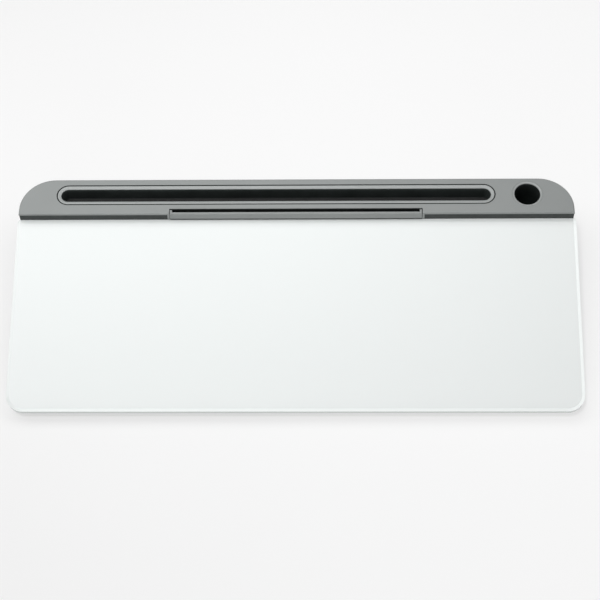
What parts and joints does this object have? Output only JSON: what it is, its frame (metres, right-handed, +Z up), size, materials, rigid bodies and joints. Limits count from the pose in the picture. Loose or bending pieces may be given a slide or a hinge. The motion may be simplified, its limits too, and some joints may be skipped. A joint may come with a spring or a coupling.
{
  "type": "desktop whiteboard",
  "caption": "Sloped white glass writing board with a raised grey rear rail that holds a long phone slot, a pen hole and a note slot with a sliding lip.",
  "frame": {"origin": "on the desk, under the middle of the part's bounding box", "axes": "+X to the right along the rail, +Y to the rear, +Z up; the writer sits at -Y"},
  "size_m": [0.42, 0.1799, 0.0457],
  "materials": {
    "glass": "polished clear glass",
    "white_backing": "white coating seen through the glass",
    "grey_plastic": "satin grey moulding",
    "lip_plastic": "satin grey moulding",
    "trim_plastic": "satin light grey moulding",
    "black_plastic": "matt black moulding",
    "mat_rubber": "soft matt pad",
    "seal_rubber": "matt dark strip",
    "base_plastic": "fine-textured grey moulding",
    "inner_plastic": "natural slippery moulding",
    "foam_tape": "soft foam with adhesive",
    "felt": "dense felt",
    "foot_rubber": "matt rubber",
    "screw_steel": "zinc plated"
  },
  "bodies": {
    "base": {"base_shell": "base_plastic", "bottom_cover": "base_plastic", "brake_pad_left": "felt", "brake_pad_right": "felt", "cover_screws": "screw_steel", "deck_cover": "grey_plastic", "deck_screws": "screw_steel", "foam_tape_front": "foam_tape", "foam_tape_left": "foam_tape", "foam_tape_rear": "foam_tape", "foam_tape_right": "foam_tape", "foot_front_left": "foot_rubber", "foot_front_middle": "foot_rubber", "foot_front_right": "foot_rubber", "foot_rear_left": "foot_rubber", "foot_rear_middle": "foot_rubber", "foot_rear_right": "foot_rubber", "glass_backing": "white_backing", "glass_panel": "glass", "glass_seal_left": "seal_rubber", "glass_seal_right": "seal_rubber", "guide_screws": "screw_steel", "lip_guide_left": "inner_plastic", "lip_guide_right": "inner_plastic", "note_strip": "mat_rubber", "pen_cup": "black_plastic", "pen_cup_mat": "mat_rubber", "pen_ring": "trim_plastic", "slot_end_left": "black_plastic", "slot_end_right": "black_plastic", "slot_floor": "black_plastic", "slot_gasket": "seal_rubber", "slot_mat": "mat_rubber", "slot_trim": "trim_plastic", "slot_wall_front": "black_plastic", "slot_wall_rear": "black_plastic"},
    "lip": {"slot_lip": "lip_plastic", "lip_slider_left": "inner_plastic", "lip_slider_right": "inner_plastic", "slider_screws": "screw_steel", "lip_wiper": "seal_rubber"}
  },
  "joints": [
    {"name": "lip_slide", "type": "slide", "parent": "base", "child": "lip", "axis": [0, -1, 0], "range_m": [0, 0.006]}
  ]
}
